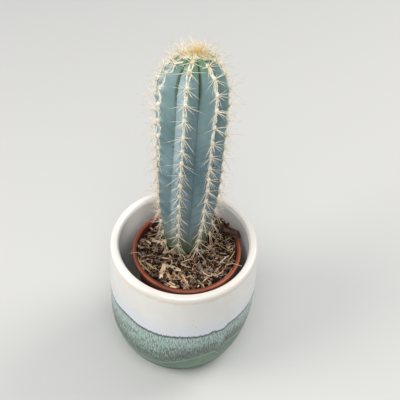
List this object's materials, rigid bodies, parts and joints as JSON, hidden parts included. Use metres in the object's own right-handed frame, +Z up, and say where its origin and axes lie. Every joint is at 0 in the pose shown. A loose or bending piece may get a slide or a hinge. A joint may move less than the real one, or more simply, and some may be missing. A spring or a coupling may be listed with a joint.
{
  "type": "potted columnar cactus",
  "caption": "Ribbed blue-green columnar cactus with cream areoles and spines, in a plastic nursery pot that stands inside a rounded glazed cover pot.",
  "frame": {"origin": "centre of the overall bounding box in plan, on the table plane under the cover pot", "axes": "+Z up along the stem, -Y towards the side seen from the front in the picture, +X to the right of that view"},
  "size_m": [0.1128, 0.1128, 0.2839],
  "materials": {
    "glazed_stoneware": "satin glaze, warm white above a speckled sea-green band",
    "terracotta_plastic": "matte, slightly worn",
    "potting_mix": "loose dark peat with bark chips and straw fibres",
    "blue_green_skin": "waxy blue-green skin with a matt bloom",
    "cream_wool_and_spines": "cream wool felt with straw-coloured spines"
  },
  "bodies": {
    "root": {"cover_pot": "glazed_stoneware", "nursery_pot": "terracotta_plastic", "soil": "potting_mix", "cactus_stem": "blue_green_skin", "wool_and_spines": "cream_wool_and_spines"}
  },
  "joints": []
}
